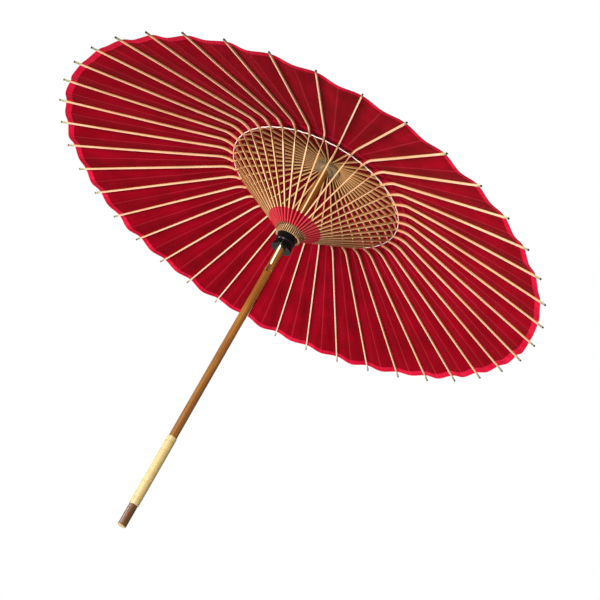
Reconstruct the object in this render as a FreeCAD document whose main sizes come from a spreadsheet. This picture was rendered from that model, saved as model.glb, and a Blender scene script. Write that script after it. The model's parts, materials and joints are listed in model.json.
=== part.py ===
"""An open oil paper umbrella (wagasa) of bamboo, paper and thread.

Units are millimetres.  The shaft stands on Z: the origin is the centre of its lower
end face, and +Z runs up the shaft to the canopy.  The catch faces -Y.

Each of the forty ribs turns on a thread in the top hub, each strut turns on a thread
in its rib and on another in the runner, and the runner slides down the shaft to close
the umbrella.  Ribs and struts are cut in a frame of their own and then placed.
"""

import math
import os

import FreeCAD
import Part
import Sketcher

DIMENSIONS = [
    # overall
    ("rib_count", 40, "ribs, and as many struts"),
    ("first_azimuth", 4.5, "azimuth of rib 1, degrees"),
    ("tip_radius", 540, "axis to the rib tips"),
    ("tip_height", 684, "shaft end to the plane of the rib tips"),
    # shaft and what is fixed on it
    ("shaft_radius", 8.3, "bamboo shaft"),
    ("shaft_top", 890, "upper end of the shaft, inside the hub"),
    ("shaft_bevel", 0.8, "height of the bevel at the shaft's lower end"),
    ("shaft_bevelled", 7.5, "radius of the bevelled end"),
    ("grip_low", 44, "lower end of the rattan wrap"),
    ("grip_high", 188, "upper end of the rattan wrap"),
    ("grip_bore", 8.32, "inside radius of the wrap"),
    ("grip_edge", 9.0, "wrap's radius at its ends"),
    ("grip_radius", 9.4, "wrap's radius between the ends"),
    ("grip_low_full", 46, "height where the wrap is full"),
    ("grip_high_full", 186, "height where the wrap is full"),
    # top hub
    ("hub_bore", 8.32, "shaft hole in the hub"),
    ("hub_boss_radius", 15, "plain boss under the teeth"),
    ("hub_boss_low", 844, "underside of the hub"),
    ("hub_teeth_low", 850, "underside of the toothed flange"),
    ("hub_teeth_high", 868, "top of the toothed flange"),
    ("hub_teeth_radius", 28, "toothed flange"),
    ("hub_neck_radius", 13, "neck above the flange"),
    ("hub_head_low", 884, "underside of the head"),
    ("hub_head_radius", 15.5, "head"),
    ("hub_head_high", 892, "top of the hub"),
    ("hub_joint_radius", 24, "thread circle in the hub"),
    ("hub_joint_height", 859, "height of that circle"),
    ("hub_slot_floor", 19.8, "radius where a slot ends"),
    ("hub_slot_width", 2.0, "slot for a rib's tongue"),
    ("peg_radius", 1.5, "peg that holds hub and shaft"),
    ("peg_hole_radius", 1.52, "hole for the peg"),
    ("peg_height", 876, "height of the peg"),
    ("peg_length", 25, "length of the peg"),
    # thread
    ("thread_radius", 0.4, "cotton thread"),
    ("thread_hole_radius", 0.5, "holes for it"),
    # rib
    ("rib_top", 1.9, "rib's upper face above its line"),
    ("rib_under", 2.2, "rib's lower face below its line"),
    ("rib_top_width", 2.9, "width of the upper face"),
    ("rib_node_width", 2.5, "width at the bottom of the node"),
    ("rib_tongue", 1.6, "thickness of the tongue in the hub"),
    ("rib_tongue_length", 13, "length of that tongue"),
    ("rib_shoulder", 55, "length over which the rib widens"),
    ("node_below", 3.6, "node below the middle joint"),
    ("node_half", 3.4, "half the node's flat length"),
    ("ramp_outer_radius", 60, "hollow outside the node"),
    ("ramp_inner_radius", 42, "hollow inside the node"),
    ("node_slot_width", 1.5, "slot for the strut's tongue"),
    ("node_slot_above", 3.2, "slot's roof above the joint"),
    ("node_slot_inner", 7.5, "slot's reach inwards of the joint"),
    ("tip_thinning_start", 300, "where the rib starts to thin"),
    ("tip_under", 1.2, "lower face below the line at the tip"),
    # middle joint and strut
    ("middle_radius", 190, "thread circle in the nodes"),
    ("middle_height", 794, "height of that circle"),
    ("strut_half", 2.0, "half the strut's depth"),
    ("strut_outer_width", 2.7, "width of the outer face"),
    ("strut_inner_width", 2.1, "width of the inner face"),
    ("strut_tongue", 1.1, "thickness of both tongues"),
    ("root_tongue_length", 23, "tongue in the runner"),
    ("node_tongue_length", 20, "tongue in the rib's node"),
    ("strut_shoulder", 12, "length over which a strut widens"),
    ("strut_every", 10, "one strut in this many is a body of its own"),
    # runner
    ("runner_bore", 8.6, "sliding hole"),
    ("runner_low", 636.5, "lower end"),
    ("runner_lip_high", 643.5, "top of the lower lip"),
    ("runner_lip_radius", 21.6, "lower lip"),
    ("runner_waist_radius", 19.6, "waist above the lip"),
    ("runner_waist_low", 645.5, "lower end of the waist"),
    ("runner_waist_high", 650.5, "upper end of the waist"),
    ("runner_body_low", 653.5, "lower end of the body"),
    ("runner_body_radius", 21.3, "body under the teeth"),
    ("runner_teeth_low", 667.5, "underside of the teeth"),
    ("runner_teeth_high", 685.5, "top of the teeth"),
    ("runner_teeth_radius", 27.8, "toothed ring"),
    ("runner_top_radius", 17, "top collar"),
    ("runner_top_high", 691.5, "top of the runner"),
    ("runner_joint_radius", 24.5, "thread circle in the runner"),
    ("runner_joint_height", 678.5, "height of that circle"),
    ("runner_slot_floor", 21.6, "radius where a slot ends"),
    ("runner_slot_width", 1.5, "slot for a strut's tongue"),
    ("notch_width", 6.4, "notch that the catch holds"),
    ("notch_start", 30, "where the cut for the notch starts"),
    ("notch_roof", 646.5, "top of that notch"),
    # catch
    ("catch_slot_width", 4.6, "slot in the shaft"),
    ("catch_slot_low", 576, "lower end of the slot"),
    ("catch_slot_high", 651.5, "upper end of the slot"),
    ("catch_slot_floor", 0.6, "slot's floor past the shaft's axis"),
    ("catch_width", 3.8, "width of the leaf"),
    ("catch_pin_offset", 3.0, "pin in front of the shaft's axis"),
    ("catch_pin_height", 582, "height of the pin"),
    ("catch_pin_radius", 1.0, "pin"),
    ("catch_pin_hole", 1.05, "holes for the pin"),
    ("catch_pin_length", 15.2, "length of the pin"),
    ("catch_foot_low", 579.4, "lower end of the leaf"),
    ("catch_foot_front", 5.3, "front of the leaf's foot"),
    ("catch_foot_back", 0.7, "back of the leaf's foot"),
    ("catch_bend_height", 600, "where the leaf leaves the shaft"),
    ("catch_bend_front", 8.0, "front of the leaf there"),
    ("catch_bend_back", 1.4, "back of the leaf there"),
    ("catch_top", 646, "upper end of the leaf"),
    ("catch_top_front", 11.8, "front of the leaf's upper end"),
    ("catch_top_back", 7.4, "back of the leaf's upper end"),
    # paper
    ("paper_inner_radius", 29.4, "hole in the canopy"),
    ("paper_outer_radius", 527, "rim of the canopy"),
    ("paper_gap", 0.6, "canopy's underside above the ribs"),
    ("paper_thickness", 0.5, "canopy, bands and collar"),
    ("band_gap", 0.15, "bands' underside above the ribs"),
    ("band_thickness", 0.3, "bands"),
    ("edge_band_inner", 515, "inner edge of the edge band"),
    ("middle_band_inner", 183, "inner edge of the middle band"),
    ("middle_band_outer", 204, "outer edge of the middle band"),
    ("collar_inner", 33, "inner edge of the struts' collar"),
    ("collar_outer", 59, "outer edge of the struts' collar"),
    ("collar_gap", 0.3, "collar's distance from the struts"),
    # cap
    ("cap_crown_radius", 17, "cap round the hub's head"),
    ("cap_crown_flat", 12, "flat top of the cap"),
    ("cap_crown_low", 881, "lower end of the crown"),
    ("cap_crown_shoulder", 893, "where the crown rounds over"),
    ("cap_crown_top", 896, "top of the cap"),
    ("cap_tie_radius", 14.6, "cap where it is tied to the neck"),
    ("cap_tie_height", 875, "height of the tie"),
    ("cap_brow_radius", 30, "where the skirt turns to the slope"),
    ("cap_brow_height", 870.4, "height there"),
    ("cap_skirt_radius", 52, "edge of the skirt"),
    ("cap_skirt_height", 856.2, "height of that edge"),
    ("cap_thickness", 0.8, "paper cap"),
]

doc = FreeCAD.newDocument("oil_paper_umbrella")
sheet = doc.addObject("Spreadsheet::Sheet", "sizes")
for row, (alias, number, meaning) in enumerate(DIMENSIONS, start=1):
    sheet.set(f"A{row}", meaning)
    sheet.set(f"B{row}", str(number))
    sheet.setAlias(f"B{row}", alias)
doc.recompute()

# --- figures worked out from the driving dimensions, on a sheet of their own ------------

FIGURES = [
    ("rib_drop", "sizes.hub_joint_height - sizes.tip_height", "fall of a rib"),
    ("rib_run", "sizes.tip_radius - sizes.hub_joint_radius", "run of a rib"),
    ("rib_length", "hypot(rib_drop; rib_run)", "hub joint to tip"),
    ("rib_dip", "atan(rib_drop / rib_run) / 1deg", "slope of a rib, degrees"),
    ("joint_drop", "sizes.hub_joint_height - sizes.middle_height", "hub to middle joint"),
    ("joint_run", "sizes.middle_radius - sizes.hub_joint_radius", "hub to middle joint"),
    (
        "joint_along",
        "(joint_run * rib_run + joint_drop * rib_drop) / rib_length",
        "middle joint along a rib's line",
    ),
    (
        "joint_below",
        "(joint_drop * rib_run - joint_run * rib_drop) / rib_length",
        "middle joint below a rib's line",
    ),
    ("strut_lift", "sizes.middle_height - sizes.runner_joint_height", "rise of a strut"),
    ("strut_run", "sizes.middle_radius - sizes.runner_joint_radius", "run of a strut"),
    ("strut_length", "hypot(strut_lift; strut_run)", "joint to joint"),
    ("strut_slope", "atan(strut_lift / strut_run) / 1deg", "slope of a strut, degrees"),
    ("node_bottom", "joint_below + sizes.node_below", "bottom of the node"),
    ("outer_fall", "node_bottom - sizes.rib_under", "depth of the node's ramps"),
    (
        "outer_ramp",
        "sqrt(2 * sizes.ramp_outer_radius * outer_fall - outer_fall * outer_fall)",
        "length of the ramp outside the node",
    ),
    (
        "inner_ramp",
        "sqrt(2 * sizes.ramp_inner_radius * outer_fall - outer_fall * outer_fall)",
        "length of the ramp inside the node",
    ),
    ("outer_start", "joint_along + sizes.node_half + outer_ramp", "outer end of its ramp"),
    ("inner_start", "joint_along - sizes.node_half - inner_ramp", "inner end of its ramp"),
    (
        "thinning",
        "atan((sizes.rib_under - sizes.tip_under) / (rib_length - sizes.tip_thinning_start)) / 1deg",
        "slope of the thinned tip, degrees",
    ),
]
# paper cones: label, inner radius, outer radius; their heights follow below
BANDS = [
    ("canopy", "paper_inner_radius", "paper_outer_radius"),
    ("edge_band", "edge_band_inner", "paper_outer_radius"),
    ("middle_band", "middle_band_inner", "middle_band_outer"),
    ("strut_collar", "collar_inner", "collar_outer"),
]
RIB_PAPER = {
    "canopy": ("sizes.paper_gap", "sizes.paper_thickness"),
    "edge_band": ("sizes.band_gap", "sizes.band_thickness"),
    "middle_band": ("sizes.band_gap", "sizes.band_thickness"),
}


def band_heights(label, inner, outer):
    """Rows for the four corner heights of a cone of paper."""
    if label in RIB_PAPER:
        gap, thickness = RIB_PAPER[label]
        line = "sizes.hub_joint_height - ({r} - sizes.hub_joint_radius) * rib_drop / rib_run"
        steep = "rib_length / rib_run"
        lifts = {"low": f"sizes.rib_top + {gap}", "high": f"sizes.rib_top + {gap} + {thickness}"}
    else:
        near = "-(sizes.strut_half + sizes.collar_gap)"
        line = (
            "sizes.runner_joint_height"
            " + ({r} - sizes.runner_joint_radius) * strut_lift / strut_run"
        )
        steep = "strut_length / strut_run"
        lifts = {"low": f"{near} - sizes.paper_thickness", "high": near}
    rows = []
    for end, radius in (("inner", inner), ("outer", outer)):
        for face, lift in lifts.items():
            formula = line.format(r=f"sizes.{radius}") + f" + ({lift}) * {steep}"
            rows.append((f"{label}_{end}_{face}", formula, f"{label}: {face} face, {end} edge"))
    return rows


for band in BANDS:
    FIGURES += band_heights(*band)
FIGURES += [
    (f"cap_{name}_inside", f"sizes.{outside} - sizes.cap_thickness", f"cap's {name}, inside")
    for name, outside in (
        ("flat", "cap_crown_flat"),
        ("top", "cap_crown_top"),
        ("crown", "cap_crown_radius"),
        ("shoulder", "cap_crown_shoulder"),
        ("tie", "cap_tie_radius"),
        ("brow", "cap_brow_height"),
        ("skirt", "cap_skirt_height"),
    )
]
figures = doc.addObject("Spreadsheet::Sheet", "figures")
for row, (alias, formula, meaning) in enumerate(FIGURES, start=1):
    figures.set(f"A{row}", meaning)
    figures.set(f"B{row}", f"={formula}")
    figures.setAlias(f"B{row}", alias)
    doc.recompute()


parts = []


def home(alias):
    """The sheet that holds an alias."""
    return sheet if sheet.getCellFromAlias(alias) else figures


def size(alias):
    """The number in the cell of that name, on either sheet."""
    return float(home(alias).get(alias))


def cell(alias):
    """The expression that reads that cell."""
    return f"{home(alias).Name}.{alias}"


def bind(thing, **expressions):
    """Bind properties of a document object to expressions on the sheet."""
    for name, expression in expressions.items():
        thing.setExpression(name.replace("__", "."), expression)


def keep(thing, label):
    """Make a document object one of the sub-parts that are written out."""
    thing.Label = label
    parts.append(thing)
    return thing


def primitive(kind, name, **expressions):
    """A Part primitive with its sizes, and its place if given, bound to the sheet."""
    thing = doc.addObject(f"Part::{kind}", name)
    bind(thing, **expressions)
    return thing


def place(along, across, up, roll=0, pitch=0, yaw=0):
    """The expression of a placement, from expressions of its parts."""
    return f"placement(vector({along}; {across}; {up}); rotation({yaw}; {pitch}; {roll}))"


def join(name, pieces):
    """The union of several objects."""
    fused = doc.addObject("Part::MultiFuse", name)
    fused.Shapes = pieces
    return fused


def cut(name, base, tool):
    """base less tool."""
    result = doc.addObject("Part::Cut", name)
    result.Base = base
    result.Tool = tool
    return result


# --- helpers for PartDesign bodies ---------------------------------------------------


def new_body(label):
    """An empty PartDesign body that becomes a sub-part."""
    return keep(doc.addObject("PartDesign::Body", label), label)


def new_sketch(body, name, role):
    """A sketch on one of its body's own origin planes."""
    sketch = body.newObject("Sketcher::SketchObject", f"{body.Name}_{name}")
    plane = next(f for f in body.Origin.OriginFeatures if f.Role == role)
    sketch.AttachmentSupport = [(plane, "")]
    sketch.MapMode = "FlatFace"
    return sketch


def pin_point(sketch, edge, point, across, up):
    """Hold one point of a sketch at the sheet's values across and up.

    Each is (alias, sign); an alias of None puts the point on that axis.
    """
    for kind, axis, (alias, sign) in (("DistanceX", -2, across), ("DistanceY", -1, up)):
        if alias is None:
            sketch.addConstraint(Sketcher.Constraint("PointOnObject", edge, point, axis))
            continue
        number = sign * size(alias)
        index = sketch.addConstraint(
            Sketcher.Constraint(kind, -1, 1, edge, point, number)
        )
        minus = "-" if sign < 0 else ""
        sketch.setExpression(f"Constraints[{index}]", f"{minus}{cell(alias)}")


def draw_polygon(sketch, corners):
    """A closed outline through corners, each ((alias, sign), (alias, sign))."""

    def number(alias, sign):
        return 0.0 if alias is None else sign * size(alias)

    spots = [FreeCAD.Vector(number(*x), number(*y), 0) for x, y in corners]
    last = len(spots) - 1
    for index, spot in enumerate(spots):
        following = spots[0 if index == last else index + 1]
        sketch.addGeometry(Part.LineSegment(spot, following), False)
    for index in range(len(spots)):
        following = 0 if index == last else index + 1
        sketch.addConstraint(Sketcher.Constraint("Coincident", index, 2, following, 1))
    for index, (across, up) in enumerate(corners):
        pin_point(sketch, index, 1, across, up)


def revolve(body, corners):
    """Turn an outline of (radius, height) aliases about the shaft's axis."""
    sketch = new_sketch(body, "outline", "XZ_Plane")
    draw_polygon(sketch, [((radius, 1), (height, 1)) for radius, height in corners])
    turned = body.newObject("PartDesign::Revolution", f"{body.Name}_turned")
    turned.Profile = sketch
    turned.ReferenceAxis = (sketch, ["V_Axis"])
    turned.Angle = 360
    doc.recompute()
    return turned


def pocket_through(body, name, sketch):
    """Cut a sketch right through its body, both ways from the sketch's plane."""
    before = body.Shape.Volume
    pocket = body.newObject("PartDesign::Pocket", f"{body.Name}_{name}")
    pocket.Profile = sketch
    pocket.Type = "ThroughAll"
    pocket.Midplane = True
    doc.recompute()
    if body.Shape.Volume >= before:
        raise RuntimeError(f"{pocket.Name} removes nothing")
    return pocket


def cross_hole(body, name, role, radius, across, up):
    """A round hole right through a body, normal to one of its origin planes."""
    sketch = new_sketch(body, name, role)
    centre = FreeCAD.Vector(0 if across[0] is None else across[1] * size(across[0]), size(up), 0)
    upright = FreeCAD.Vector(0, 0, 1)
    sketch.addGeometry(Part.Circle(centre, upright, size(radius)), False)
    index = sketch.addConstraint(Sketcher.Constraint("Radius", 0, size(radius)))
    sketch.setExpression(f"Constraints[{index}]", f"sizes.{radius}")
    pin_point(sketch, 0, 3, across, (up, 1))
    return pocket_through(body, f"{name}_pocket", sketch)


def tooth_slots(body, floor, rim, width):
    """Forty radial slots round a toothed flange."""
    sketch = new_sketch(body, "slot", "XY_Plane")
    reach = size(rim) + 1.0
    half = size(width) / 2
    start = size(floor)
    turn = math.radians(size("first_azimuth"))

    def spot(along, aside):
        x = along * math.cos(turn) - aside * math.sin(turn)
        y = along * math.sin(turn) + aside * math.cos(turn)
        return FreeCAD.Vector(x, y, 0)

    spots = [spot(start, -half), spot(reach, -half), spot(reach, half), spot(start, half)]
    for index in range(4):
        sketch.addGeometry(Part.LineSegment(spots[index], spots[(index + 1) % 4]), False)
    for index in range(4):
        sketch.addConstraint(Sketcher.Constraint("Coincident", index, 2, (index + 1) % 4, 1))
    # a line from the axis through the slot's floor gives the slot its azimuth
    middle = spot(start, 0)
    sketch.addGeometry(Part.LineSegment(FreeCAD.Vector(0, 0, 0), middle), True)
    sketch.addConstraint(Sketcher.Constraint("Coincident", 4, 1, -1, 1))
    sketch.addConstraint(Sketcher.Constraint("Symmetric", 3, 1, 3, 2, 4, 2))
    sketch.addConstraint(Sketcher.Constraint("Perpendicular", 4, 3))
    sketch.addConstraint(Sketcher.Constraint("Parallel", 0, 4))
    sketch.addConstraint(Sketcher.Constraint("Parallel", 2, 4))
    sketch.addConstraint(Sketcher.Constraint("Parallel", 1, 3))
    for kind, edge, number, expression in (
        ("Distance", 4, start, f"sizes.{floor}"),
        ("Distance", 3, 2 * half, f"sizes.{width}"),
        ("Distance", 0, reach - start, f"sizes.{rim} + 1 - sizes.{floor}"),
    ):
        index = sketch.addConstraint(Sketcher.Constraint(kind, edge, number))
        sketch.setExpression(f"Constraints[{index}]", expression)
    index = sketch.addConstraint(Sketcher.Constraint("Angle", -1, 1, 4, 1, turn))
    sketch.setExpression(f"Constraints[{index}]", "sizes.first_azimuth * 1deg")
    pocket = pocket_through(body, "slot_pocket", sketch)
    pattern = body.newObject("PartDesign::PolarPattern", f"{body.Name}_slots")
    pattern.Originals = [pocket]
    axis = next(f for f in body.Origin.OriginFeatures if f.Role == "Z_Axis")
    pattern.Axis = (axis, [""])
    pattern.Angle = 360
    pattern.Occurrences = int(size("rib_count"))
    bind(pattern, Occurrences="sizes.rib_count")
    body.Tip = pattern
    doc.recompute()


def thread_bore(body, radius, height):
    """The round bore for a thread, through all of a flange's teeth."""
    sketch = new_sketch(body, "bore", "XZ_Plane")
    centre = FreeCAD.Vector(size(radius), size(height), 0)
    upright = FreeCAD.Vector(0, 0, 1)
    sketch.addGeometry(Part.Circle(centre, upright, size("thread_hole_radius")), False)
    index = sketch.addConstraint(
        Sketcher.Constraint("Radius", 0, size("thread_hole_radius"))
    )
    sketch.setExpression(f"Constraints[{index}]", "sizes.thread_hole_radius")
    pin_point(sketch, 0, 3, (radius, 1), (height, 1))
    before = body.Shape.Volume
    groove = body.newObject("PartDesign::Groove", f"{body.Name}_groove")
    groove.Profile = sketch
    groove.ReferenceAxis = (sketch, ["V_Axis"])
    groove.Angle = 360
    doc.recompute()
    if body.Shape.Volume >= before:
        raise RuntimeError(f"{groove.Name} removes nothing")


# --- ribs and struts, each cut in its own frame ------------------------------------------
# A rib's frame starts at the hub joint, X along the rib's line, Z up.
# A strut's frame starts at the runner joint, X along the strut, Z towards the shaft.

BEYOND = 5  # how far a cutting tool reaches past what it cuts
CROSSWISE = 20  # length of tools that lie across a rib or a strut


def across_pin(name, radius, along, up):
    """A round tool across a rib or strut, centred on its middle plane."""
    return primitive(
        "Cylinder",
        name,
        Radius=radius,
        Height=f"{CROSSWISE}",
        Placement=place(along, f"{CROSSWISE / 2}", up, roll=90),
    )


def across_box(name, start, stop, low, high, width=f"{CROSSWISE}"):
    """A box across a rib or strut, from start to stop along it, low to high."""
    return primitive(
        "Box",
        name,
        Length=f"({stop}) - ({start})",
        Width=width,
        Height=f"({high}) - ({low})",
        Placement=place(start, f"-({width}) / 2", low),
    )


def keystone(name, start, stop, low, high, low_width, high_width):
    """A bar of keystone section: one width at the bottom, another at the top."""
    return primitive(
        "Wedge",
        name,
        Xmin=start,
        Xmax=stop,
        X2min=start,
        X2max=stop,
        Ymin=low,
        Ymax=high,
        Zmin=f"-({low_width}) / 2",
        Zmax=f"({low_width}) / 2",
        Z2min=f"-({high_width}) / 2",
        Z2max=f"({high_width}) / 2",
        Placement=place("0", "0", "0", roll=90),
    )


def cheeks(name, start, tongue_end, shoulder, half_tongue):
    """Two tools that thin a bar to a tongue, from start to tongue_end.

    The bar then widens at a slant that reaches 1 mm more each side over shoulder.
    """
    tools = []
    for side, roll in (("left", 0), ("right", 180)):
        tools.append(
            primitive(
                "Wedge",
                f"{name}_{side}",
                Xmin=start,
                Xmax=tongue_end,
                X2min=start,
                X2max=f"({tongue_end}) + 3 * ({shoulder})",
                Ymin=half_tongue,
                Ymax=f"({half_tongue}) + 3",
                Zmin=f"-{CROSSWISE}",
                Zmax=f"{CROSSWISE}",
                Z2min=f"-{CROSSWISE}",
                Z2max=f"{CROSSWISE}",
                Placement=place("0", "0", "0", roll=roll),
            )
        )
    return tools


def rib_pattern():
    """One rib in its own frame."""
    length = "figures.rib_length"
    low = "-figures.node_bottom"
    deep = f"{low} - {BEYOND}"
    under = "-sizes.rib_under"
    joint = "figures.joint_along"
    bar = keystone(
        "rib_bar", "0", length, low, "sizes.rib_top",
        "sizes.rib_node_width", "sizes.rib_top_width",
    )
    end = primitive(
        "Cylinder",
        "rib_inner_end",
        Radius="sizes.rib_top",
        Height="sizes.rib_tongue",
        Placement=place("0", "sizes.rib_tongue / 2", "0", roll=90),
    )
    tools = [
        across_box("rib_under_outer", "figures.outer_start", f"{length} + {BEYOND}", deep, under),
        across_pin(
            "rib_ramp_outer", "sizes.ramp_outer_radius",
            "figures.outer_start", "-sizes.rib_under - sizes.ramp_outer_radius",
        ),
        across_box("rib_under_inner", f"-{BEYOND}", "figures.inner_start", deep, under),
        across_pin(
            "rib_ramp_inner", "sizes.ramp_inner_radius",
            "figures.inner_start", "-sizes.rib_under - sizes.ramp_inner_radius",
        ),
        primitive(
            "Box",
            "rib_thinning",
            Length=length,
            Width=f"{CROSSWISE}",
            Height=f"{BEYOND}",
            Placement=place(
                "sizes.tip_thinning_start", f"-{CROSSWISE / 2}",
                f"-sizes.rib_under - {BEYOND}", pitch="-figures.thinning",
            ),
        ),
        across_box(
            "rib_strut_slot", f"{joint} - sizes.node_slot_inner", f"figures.outer_start + {BEYOND}",
            deep, "-figures.joint_below + sizes.node_slot_above", "sizes.node_slot_width",
        ),
        across_pin("rib_node_hole", "sizes.thread_hole_radius", joint, "-figures.joint_below"),
        *cheeks(
            "rib_cheek", f"-{BEYOND}", "sizes.rib_tongue_length",
            "sizes.rib_shoulder", "sizes.rib_tongue / 2",
        ),
    ]
    blank = cut("rib_blank", bar, join("rib_tools", tools))
    whole = join("rib_whole", [blank, end])
    return whole, across_pin("rib_hub_hole", "sizes.thread_hole_radius", "0", "0")


def strut_pattern():
    """One strut in its own frame."""
    length = "figures.strut_length"
    bar = keystone(
        "strut_bar", "0", length, "-sizes.strut_half", "sizes.strut_half",
        "sizes.strut_outer_width", "sizes.strut_inner_width",
    )
    ends = [
        primitive(
            "Cylinder",
            f"strut_{name}_end",
            Radius="sizes.strut_half",
            Height="sizes.strut_tongue",
            Placement=place(along, "sizes.strut_tongue / 2", "0", roll=90),
        )
        for name, along in (("root", "0"), ("node", length))
    ]
    root_cheeks = cheeks(
        "strut_root_cheek", f"-{BEYOND}", "sizes.root_tongue_length",
        "sizes.strut_shoulder", "sizes.strut_tongue / 2",
    )
    node_cheeks = []
    for side, roll in (("left", 0), ("right", 180)):
        node_cheeks.append(
            primitive(
                "Wedge",
                f"strut_node_cheek_{side}",
                Xmin=f"{length} - sizes.node_tongue_length",
                Xmax=f"{length} + {BEYOND}",
                X2min=f"{length} - sizes.node_tongue_length - 3 * sizes.strut_shoulder",
                X2max=f"{length} + {BEYOND}",
                Ymin="sizes.strut_tongue / 2",
                Ymax="sizes.strut_tongue / 2 + 3",
                Zmin=f"-{CROSSWISE}",
                Zmax=f"{CROSSWISE}",
                Z2min=f"-{CROSSWISE}",
                Z2max=f"{CROSSWISE}",
                Placement=place("0", "0", "0", roll=roll),
            )
        )
    blank = cut("strut_blank", bar, join("strut_tools", root_cheeks + node_cheeks))
    whole = join("strut_whole", [blank] + ends)
    holes = join(
        "strut_holes",
        [
            across_pin("strut_root_hole", "sizes.thread_hole_radius", "0", "0"),
            across_pin("strut_node_hole", "sizes.thread_hole_radius", length, "0"),
        ],
    )
    return whole, holes


def azimuth(number):
    """The azimuth of rib or strut number, counted from 1, as an expression."""
    return f"sizes.first_azimuth + {number - 1} * 360 / sizes.rib_count"


def on_circle(radius, height, number, slope):
    """A placement on a circle round the shaft, turned to rib number's azimuth."""
    turn = f"({azimuth(number)})"
    return place(
        f"{radius} * cos({turn} * 1deg)",
        f"{radius} * sin({turn} * 1deg)",
        height,
        pitch=slope,
        yaw=turn,
    )


def make_ribs():
    """Forty ribs, the first at first_azimuth."""
    whole, hole = rib_pattern()
    for number in range(1, int(size("rib_count")) + 1):
        rib = cut(f"rib_{number:02d}", whole, hole)
        spot = on_circle(
            "sizes.hub_joint_radius", "sizes.hub_joint_height", number, "figures.rib_dip"
        )
        bind(rib, Placement=spot)
        keep(rib, f"rib_{number:02d}")


def make_struts():
    """Struts: some are bodies of their own, and those between share one node."""
    whole, holes = strut_pattern()
    between = []
    for number in range(1, int(size("rib_count")) + 1):
        strut = cut(f"strut_{number:02d}", whole, holes)
        spot = on_circle(
            "sizes.runner_joint_radius", "sizes.runner_joint_height", number,
            "-figures.strut_slope",
        )
        bind(strut, Placement=spot)
        if number % int(size("strut_every")) == 1:
            keep(strut, f"strut_{number:02d}")
        else:
            between.append(strut)
    group = doc.addObject("Part::Compound", "struts_between")
    group.Links = between
    keep(group, "struts_between")


# --- shaft, hub, runner and catch -------------------------------------------------------


def front_slot(body, name, width, low, high, front, back):
    """Cut a slot that runs along Y, from front (towards -Y) to back, low to high."""
    sketch = new_sketch(body, name, "YZ_Plane")
    draw_polygon(
        sketch,
        [
            ((front, -1), (low, 1)),
            (back, (low, 1)),
            (back, (high, 1)),
            ((front, -1), (high, 1)),
        ],
    )
    before = body.Shape.Volume
    pocket = body.newObject("PartDesign::Pocket", f"{body.Name}_{name}_pocket")
    pocket.Profile = sketch
    pocket.Type = "Length"
    pocket.Midplane = True
    pocket.Length = size(width)
    bind(pocket, Length=f"sizes.{width}")
    doc.recompute()
    if body.Shape.Volume >= before:
        raise RuntimeError(f"{pocket.Name} removes nothing")


def make_shaft():
    """The bamboo shaft, with its slot for the catch and its two cross holes."""
    body = new_body("shaft")
    revolve(
        body,
        [
            (None, None),
            ("shaft_bevelled", None),
            ("shaft_radius", "shaft_bevel"),
            ("shaft_radius", "shaft_top"),
            (None, "shaft_top"),
        ],
    )
    front_slot(
        body, "catch_slot", "catch_slot_width", "catch_slot_low", "catch_slot_high",
        "catch_top_front", ("catch_slot_floor", 1),
    )
    cross_hole(
        body, "pin_hole", "YZ_Plane", "catch_pin_hole", ("catch_pin_offset", -1),
        "catch_pin_height",
    )
    cross_hole(body, "peg_hole", "YZ_Plane", "peg_hole_radius", (None, 1), "peg_height")


def make_grip():
    """The rattan wound round the shaft as a grip, as one sleeve."""
    body = new_body("grip_wrap")
    revolve(
        body,
        [
            ("grip_bore", "grip_low"),
            ("grip_edge", "grip_low"),
            ("grip_radius", "grip_low_full"),
            ("grip_radius", "grip_high_full"),
            ("grip_edge", "grip_high"),
            ("grip_bore", "grip_high"),
        ],
    )


def make_top_hub():
    """The wooden hub at the top: a boss, a flange of forty teeth, a neck and a head."""
    body = new_body("top_hub")
    revolve(
        body,
        [
            ("hub_bore", "hub_boss_low"),
            ("hub_boss_radius", "hub_boss_low"),
            ("hub_boss_radius", "hub_teeth_low"),
            ("hub_teeth_radius", "hub_teeth_low"),
            ("hub_teeth_radius", "hub_teeth_high"),
            ("hub_neck_radius", "hub_teeth_high"),
            ("hub_neck_radius", "hub_head_low"),
            ("hub_head_radius", "hub_head_low"),
            ("hub_head_radius", "hub_head_high"),
            ("hub_bore", "hub_head_high"),
        ],
    )
    tooth_slots(body, "hub_slot_floor", "hub_teeth_radius", "hub_slot_width")
    thread_bore(body, "hub_joint_radius", "hub_joint_height")
    cross_hole(body, "peg_hole", "YZ_Plane", "peg_hole_radius", (None, 1), "peg_height")


def make_runner():
    """The lacquered runner: a top collar, forty teeth, a body, a waist and a lip."""
    body = new_body("runner")
    revolve(
        body,
        [
            ("runner_bore", "runner_low"),
            ("runner_lip_radius", "runner_low"),
            ("runner_lip_radius", "runner_lip_high"),
            ("runner_waist_radius", "runner_waist_low"),
            ("runner_waist_radius", "runner_waist_high"),
            ("runner_body_radius", "runner_body_low"),
            ("runner_body_radius", "runner_teeth_low"),
            ("runner_teeth_radius", "runner_teeth_low"),
            ("runner_teeth_radius", "runner_teeth_high"),
            ("runner_top_radius", "runner_teeth_high"),
            ("runner_top_radius", "runner_top_high"),
            ("runner_bore", "runner_top_high"),
        ],
    )
    tooth_slots(body, "runner_slot_floor", "runner_teeth_radius", "runner_slot_width")
    thread_bore(body, "runner_joint_radius", "runner_joint_height")
    front_slot(
        body, "notch", "notch_width", "notch_start", "notch_roof",
        "runner_teeth_radius", (None, 1),
    )


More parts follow.
